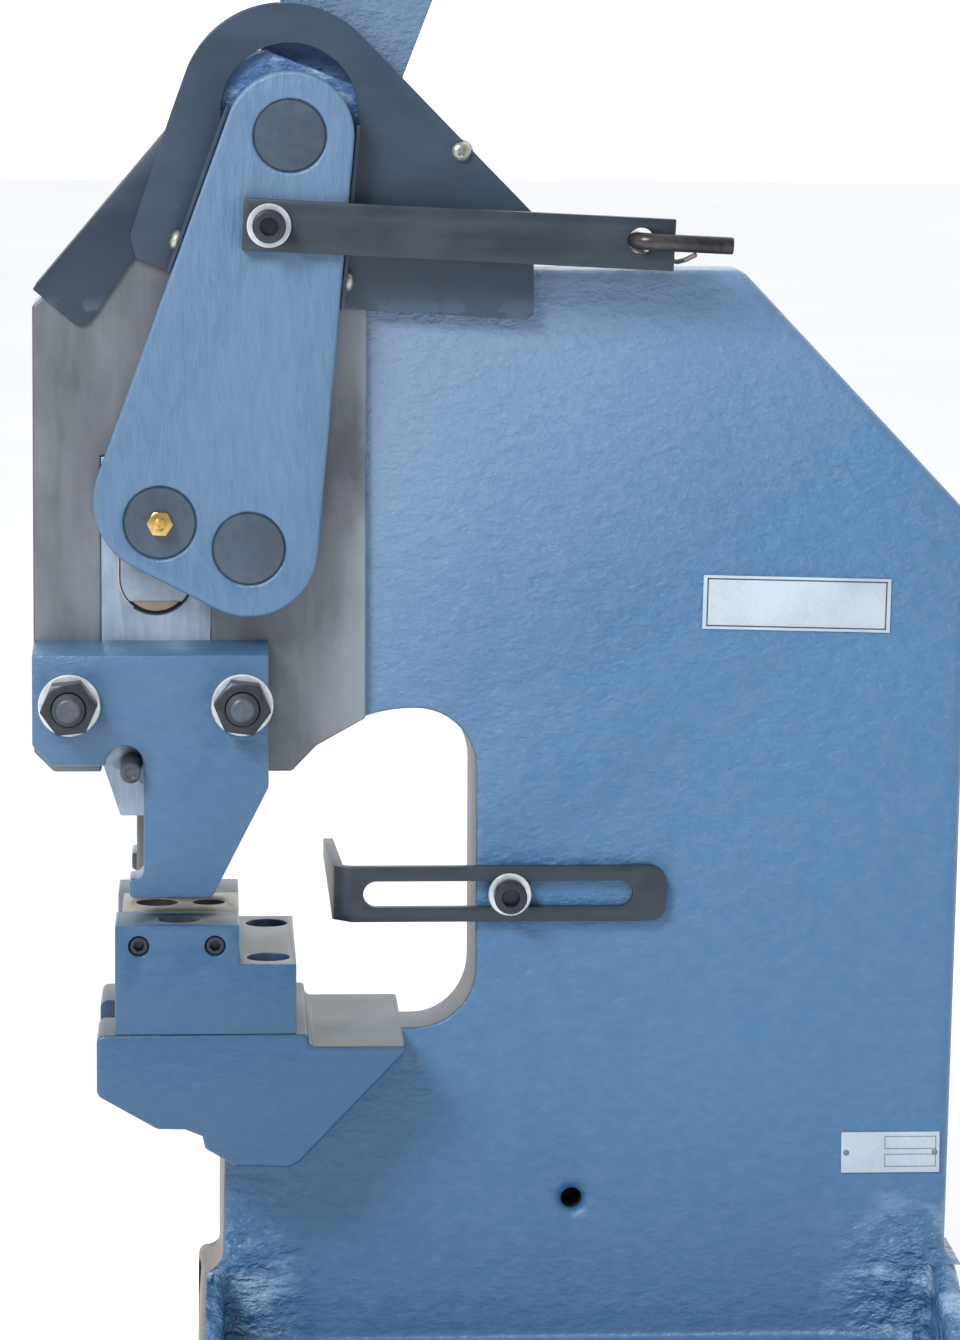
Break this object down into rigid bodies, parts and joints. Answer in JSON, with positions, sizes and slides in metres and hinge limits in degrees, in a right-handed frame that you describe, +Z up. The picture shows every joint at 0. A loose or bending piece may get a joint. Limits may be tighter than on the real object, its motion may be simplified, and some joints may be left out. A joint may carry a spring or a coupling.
{
  "type": "lever hole punch",
  "caption": "Bench hole punch with a blue cast C frame, a long hand lever on a geared rocker, a sliding ram, stripper brackets and a die holder.",
  "frame": {"origin": "centre of the four base bolt holes, on the underside of the base", "axes": "+Z up, -X towards the ram and the mouth of the throat, -Y the near side with the lock bar and the back stop"},
  "size_m": [0.4894, 0.2, 1.5223],
  "materials": {
    "blue_paint": "gloss enamel over a rough casting, machined faces left bare",
    "charcoal_paint": "satin powder coat on sheet steel",
    "machined_steel": "ground and lightly oiled",
    "black_oxide": "black oxide",
    "die_steel": "hardened steel, tan grey",
    "zinc": "bright zinc",
    "spring_steel": "brown black, worn",
    "brass": "plain brass",
    "bronze": "cast bronze",
    "grip": "black rubber",
    "label": "thin plate, satin"
  },
  "bodies": {
    "frame": {"frame_casting": "blue_paint", "tooth_segment": "machined_steel", "segment_pins": "machined_steel", "pivot_bush": "bronze", "stripper_bracket_near": "blue_paint", "stripper_bracket_far": "blue_paint", "stripper_bolts": "black_oxide", "stripper_washers": "zinc", "stripper_nuts": "black_oxide", "die_holder": "blue_paint", "die_insert": "die_steel", "die_screws": "black_oxide", "die_holder_screws": "black_oxide", "back_stop_screw": "black_oxide", "back_stop_washer": "zinc", "name_plate": "label", "data_plate": "label", "data_plate_rivets": "label"},
    "rocker": {"side_plate_near": "blue_paint", "side_plate_far": "blue_paint", "pivot_pins": "black_oxide", "ram_pin": "black_oxide", "grease_nipple": "brass", "lever_pin": "black_oxide", "guard_near": "charcoal_paint", "guard_far": "charcoal_paint", "front_cover": "charcoal_paint", "guard_spacer": "machined_steel", "guard_screws": "zinc", "lock_bar_screw": "black_oxide", "lock_bar_washer": "zinc"},
    "lever": {"lever": "blue_paint", "lever_bush": "bronze", "handle_tube": "zinc", "handle_grip": "grip", "handle_screw": "black_oxide"},
    "ram": {"ram": "machined_steel", "ram_wear_pad": "bronze", "ram_pressure_block": "die_steel", "ram_lift_shell": "bronze", "punch": "machined_steel", "punch_clamp_screw": "black_oxide"},
    "lock_bar": {"lock_bar": "black_oxide", "lock_pin": "spring_steel", "lock_pin_wire": "spring_steel"},
    "back_stop": {"back_stop": "black_oxide"}
  },
  "joints": [
    {"name": "rocker_swing", "type": "hinge", "parent": "frame", "child": "rocker", "pos_m": [-0.1633, 0, 0.4237], "axis": [0, -1, 0], "range_deg": [0, 26]},
    {"name": "lever_swing", "type": "hinge", "parent": "rocker", "child": "lever", "pos_m": [-0.14368, 0, 0.62274], "axis": [0, -1, 0], "range_deg": [0, 61]},
    {"name": "ram_slide", "type": "slide", "parent": "frame", "child": "ram", "axis": [0, 0, -1], "range_m": [0, 0.0202]},
    {"name": "lock_bar_swing", "type": "hinge", "parent": "rocker", "child": "lock_bar", "pos_m": [-0.15378, 0, 0.58003], "axis": [0, -1, 0], "range_deg": [-1.5, 57]},
    {"name": "back_stop_slide", "type": "slide", "parent": "frame", "child": "back_stop", "axis": [1, 0, 0], "range_m": [-0.041, 0.062]}
  ],
  "couplings": [
    {"joint": "lever_swing", "follows": "rocker_swing", "ratio": 2.3333},
    {"joint": "ram_slide", "follows": "rocker_swing", "m_per_rad": 0.0442}
  ]
}
